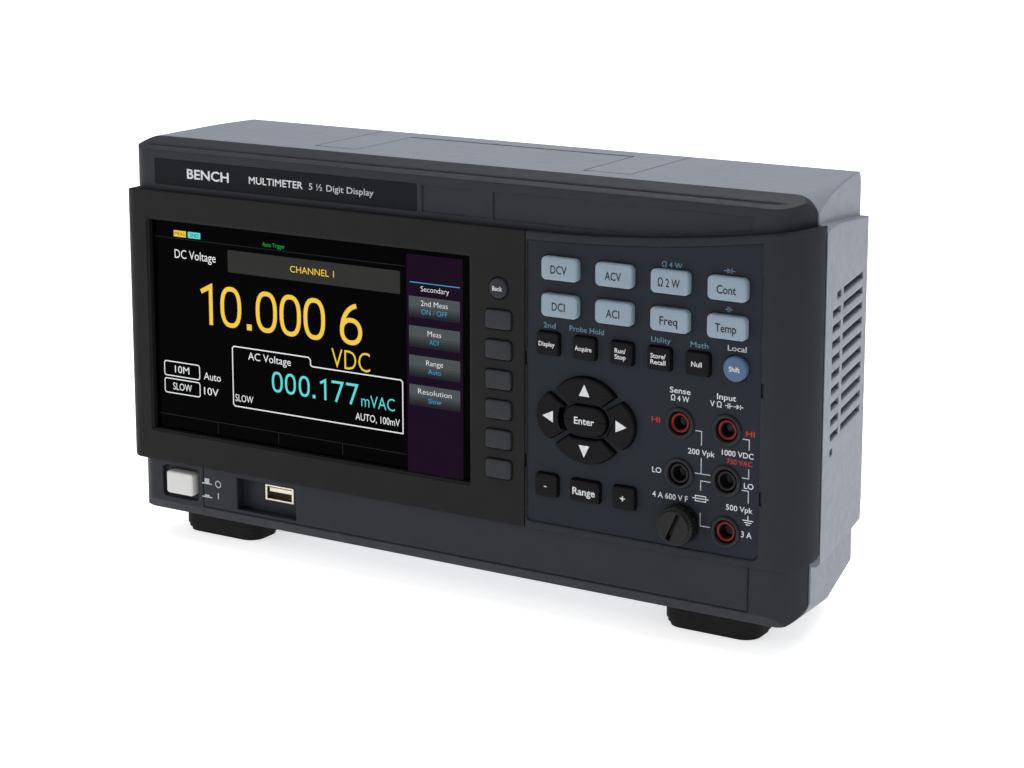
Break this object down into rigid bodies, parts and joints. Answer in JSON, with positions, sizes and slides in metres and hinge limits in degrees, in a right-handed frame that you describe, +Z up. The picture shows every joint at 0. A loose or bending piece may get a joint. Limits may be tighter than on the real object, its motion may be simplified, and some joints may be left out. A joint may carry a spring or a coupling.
{
  "type": "bench multimeter",
  "caption": "Bench digital multimeter with a colour display, soft keys, keypad, banana jacks, fuse holder, vented rear cover and folding carry handle.",
  "frame": {"origin": "on the table under the middle of the bounding box", "axes": "+X to the right seen from the front, +Y to the back, +Z up; the display and keys face -Y"},
  "size_m": [0.3118, 0.0844, 0.1705],
  "materials": {
    "cover_grey": "fine moulded texture",
    "handle_grey": "fine moulded texture",
    "bezel_charcoal": "satin moulded texture",
    "bezel_black": "satin moulded texture",
    "panel_slate": "printed overlay, satin",
    "plate_black": "printed label, satin",
    "screen_glass": "clear, glossy",
    "panel_metal": "satin",
    "membrane_grey": "matte silicone",
    "board_green": "solder mask",
    "board_blue": "solder mask",
    "moulded_black": "satin",
    "button_white": "satin",
    "shell_metal": "plated",
    "fuse_white": "glazed tube",
    "jack_red": "glossy",
    "jack_black": "glossy",
    "pin_steel": "turned",
    "foot_rubber": "matte",
    "soft_key_grey": "satin",
    "key_light": "satin",
    "key_dark": "satin",
    "key_blue": "satin"
  },
  "bodies": {
    "chassis": {"rear_cover": "cover_grey", "front_frame": "bezel_charcoal", "display_bezel": "bezel_black", "keypad_frame": "bezel_charcoal", "keypad_panel": "panel_slate", "title_plate": "plate_black", "display_window": "screen_glass", "display_module": "panel_metal", "key_membrane": "membrane_grey", "key_board": "board_green", "main_board": "board_green", "supply_board": "board_blue", "power_switch": "moulded_black", "usb_socket": "shell_metal", "fuse_holder": "moulded_black", "sense_high_jack": "jack_red", "sense_low_jack": "jack_black", "input_high_jack": "jack_red", "input_low_jack": "jack_black", "current_jack": "jack_red", "mains_inlet": "moulded_black", "data_socket": "shell_metal", "network_socket": "shell_metal", "handle_pins": "pin_steel", "feet": "foot_rubber", "cover_screws": "pin_steel"},
    "carry_handle": {"handle": "handle_grey"},
    "fuse_carrier": {"fuse_cap": "moulded_black", "fuse": "fuse_white"},
    "power_button_body": {"power_button": "button_white"},
    "key_back_body": {"key_back": "soft_key_grey"},
    "soft_key_1_body": {"soft_key_1": "soft_key_grey"},
    "soft_key_2_body": {"soft_key_2": "soft_key_grey"},
    "soft_key_3_body": {"soft_key_3": "soft_key_grey"},
    "soft_key_4_body": {"soft_key_4": "soft_key_grey"},
    "soft_key_5_body": {"soft_key_5": "soft_key_grey"},
    "soft_key_6_body": {"soft_key_6": "soft_key_grey"},
    "key_dc_volts_body": {"key_dc_volts": "key_light"},
    "key_ac_volts_body": {"key_ac_volts": "key_light"},
    "key_resistance_body": {"key_resistance": "key_light"},
    "key_continuity_body": {"key_continuity": "key_light"},
    "key_dc_current_body": {"key_dc_current": "key_light"},
    "key_ac_current_body": {"key_ac_current": "key_light"},
    "key_frequency_body": {"key_frequency": "key_light"},
    "key_temperature_body": {"key_temperature": "key_light"},
    "key_display_body": {"key_display": "key_dark"},
    "key_acquire_body": {"key_acquire": "key_dark"},
    "key_run_stop_body": {"key_run_stop": "key_dark"},
    "key_recall_body": {"key_recall": "key_dark"},
    "key_null_body": {"key_null": "key_dark"},
    "key_shift_body": {"key_shift": "key_blue"},
    "key_up_body": {"key_up": "key_dark"},
    "key_down_body": {"key_down": "key_dark"},
    "key_left_body": {"key_left": "key_dark"},
    "key_right_body": {"key_right": "key_dark"},
    "key_enter_body": {"key_enter": "key_dark"},
    "key_minus_body": {"key_minus": "key_dark"},
    "key_range_body": {"key_range": "key_dark"},
    "key_plus_body": {"key_plus": "key_dark"}
  },
  "joints": [
    {"name": "handle_swing", "type": "hinge", "parent": "chassis", "child": "carry_handle", "pos_m": [0, -0.007, 0.1655], "axis": [1, 0, 0], "range_deg": [0, 90]},
    {"name": "fuse_cap_turn", "type": "hinge", "parent": "chassis", "child": "fuse_carrier", "pos_m": [0.1057, -0.036, 0.0468], "axis": [0, -1, 0], "range_deg": [0, 60]},
    {"name": "power_push", "type": "slide", "parent": "chassis", "child": "power_button_body", "axis": [0, 1, 0], "range_m": [0, 0.003], "stiffness_N_per_m": 250, "springref_m": -0.002},
    {"name": "key_back_press", "type": "slide", "parent": "chassis", "child": "key_back_body", "axis": [0, 1, 0], "range_m": [0, 0.0008], "stiffness_N_per_m": 400, "springref_m": -0.001},
    {"name": "soft_key_1_press", "type": "slide", "parent": "chassis", "child": "soft_key_1_body", "axis": [0, 1, 0], "range_m": [0, 0.0008], "stiffness_N_per_m": 400, "springref_m": -0.001},
    {"name": "soft_key_2_press", "type": "slide", "parent": "chassis", "child": "soft_key_2_body", "axis": [0, 1, 0], "range_m": [0, 0.0008], "stiffness_N_per_m": 400, "springref_m": -0.001},
    {"name": "soft_key_3_press", "type": "slide", "parent": "chassis", "child": "soft_key_3_body", "axis": [0, 1, 0], "range_m": [0, 0.0008], "stiffness_N_per_m": 400, "springref_m": -0.001},
    {"name": "soft_key_4_press", "type": "slide", "parent": "chassis", "child": "soft_key_4_body", "axis": [0, 1, 0], "range_m": [0, 0.0008], "stiffness_N_per_m": 400, "springref_m": -0.001},
    {"name": "soft_key_5_press", "type": "slide", "parent": "chassis", "child": "soft_key_5_body", "axis": [0, 1, 0], "range_m": [0, 0.0008], "stiffness_N_per_m": 400, "springref_m": -0.001},
    {"name": "soft_key_6_press", "type": "slide", "parent": "chassis", "child": "soft_key_6_body", "axis": [0, 1, 0], "range_m": [0, 0.0008], "stiffness_N_per_m": 400, "springref_m": -0.001},
    {"name": "key_dc_volts_press", "type": "slide", "parent": "chassis", "child": "key_dc_volts_body", "axis": [0, 1, 0], "range_m": [0, 0.001], "stiffness_N_per_m": 400, "springref_m": -0.001},
    {"name": "key_ac_volts_press", "type": "slide", "parent": "chassis", "child": "key_ac_volts_body", "axis": [0, 1, 0], "range_m": [0, 0.001], "stiffness_N_per_m": 400, "springref_m": -0.001},
    {"name": "key_resistance_press", "type": "slide", "parent": "chassis", "child": "key_resistance_body", "axis": [0, 1, 0], "range_m": [0, 0.001], "stiffness_N_per_m": 400, "springref_m": -0.001},
    {"name": "key_continuity_press", "type": "slide", "parent": "chassis", "child": "key_continuity_body", "axis": [0, 1, 0], "range_m": [0, 0.001], "stiffness_N_per_m": 400, "springref_m": -0.001},
    {"name": "key_dc_current_press", "type": "slide", "parent": "chassis", "child": "key_dc_current_body", "axis": [0, 1, 0], "range_m": [0, 0.001], "stiffness_N_per_m": 400, "springref_m": -0.001},
    {"name": "key_ac_current_press", "type": "slide", "parent": "chassis", "child": "key_ac_current_body", "axis": [0, 1, 0], "range_m": [0, 0.001], "stiffness_N_per_m": 400, "springref_m": -0.001},
    {"name": "key_frequency_press", "type": "slide", "parent": "chassis", "child": "key_frequency_body", "axis": [0, 1, 0], "range_m": [0, 0.001], "stiffness_N_per_m": 400, "springref_m": -0.001},
    {"name": "key_temperature_press", "type": "slide", "parent": "chassis", "child": "key_temperature_body", "axis": [0, 1, 0], "range_m": [0, 0.001], "stiffness_N_per_m": 400, "springref_m": -0.001},
    {"name": "key_display_press", "type": "slide", "parent": "chassis", "child": "key_display_body", "axis": [0, 1, 0], "range_m": [0, 0.001], "stiffness_N_per_m": 400, "springref_m": -0.001},
    {"name": "key_acquire_press", "type": "slide", "parent": "chassis", "child": "key_acquire_body", "axis": [0, 1, 0], "range_m": [0, 0.001], "stiffness_N_per_m": 400, "springref_m": -0.001},
    {"name": "key_run_stop_press", "type": "slide", "parent": "chassis", "child": "key_run_stop_body", "axis": [0, 1, 0], "range_m": [0, 0.001], "stiffness_N_per_m": 400, "springref_m": -0.001},
    {"name": "key_recall_press", "type": "slide", "parent": "chassis", "child": "key_recall_body", "axis": [0, 1, 0], "range_m": [0, 0.001], "stiffness_N_per_m": 400, "springref_m": -0.001},
    {"name": "key_null_press", "type": "slide", "parent": "chassis", "child": "key_null_body", "axis": [0, 1, 0], "range_m": [0, 0.001], "stiffness_N_per_m": 400, "springref_m": -0.001},
    {"name": "key_shift_press", "type": "slide", "parent": "chassis", "child": "key_shift_body", "axis": [0, 1, 0], "range_m": [0, 0.001], "stiffness_N_per_m": 400, "springref_m": -0.001},
    {"name": "key_up_press", "type": "slide", "parent": "chassis", "child": "key_up_body", "axis": [0, 1, 0], "range_m": [0, 0.001], "stiffness_N_per_m": 400, "springref_m": -0.001},
    {"name": "key_down_press", "type": "slide", "parent": "chassis", "child": "key_down_body", "axis": [0, 1, 0], "range_m": [0, 0.001], "stiffness_N_per_m": 400, "springref_m": -0.001},
    {"name": "key_left_press", "type": "slide", "parent": "chassis", "child": "key_left_body", "axis": [0, 1, 0], "range_m": [0, 0.001], "stiffness_N_per_m": 400, "springref_m": -0.001},
    {"name": "key_right_press", "type": "slide", "parent": "chassis", "child": "key_right_body", "axis": [0, 1, 0], "range_m": [0, 0.001], "stiffness_N_per_m": 400, "springref_m": -0.001},
    {"name": "key_enter_press", "type": "slide", "parent": "chassis", "child": "key_enter_body", "axis": [0, 1, 0], "range_m": [0, 0.001], "stiffness_N_per_m": 400, "springref_m": -0.001},
    {"name": "key_minus_press", "type": "slide", "parent": "chassis", "child": "key_minus_body", "axis": [0, 1, 0], "range_m": [0, 0.001], "stiffness_N_per_m": 400, "springref_m": -0.001},
    {"name": "key_range_press", "type": "slide", "parent": "chassis", "child": "key_range_body", "axis": [0, 1, 0], "range_m": [0, 0.001], "stiffness_N_per_m": 400, "springref_m": -0.001},
    {"name": "key_plus_press", "type": "slide", "parent": "chassis", "child": "key_plus_body", "axis": [0, 1, 0], "range_m": [0, 0.001], "stiffness_N_per_m": 400, "springref_m": -0.001}
  ]
}
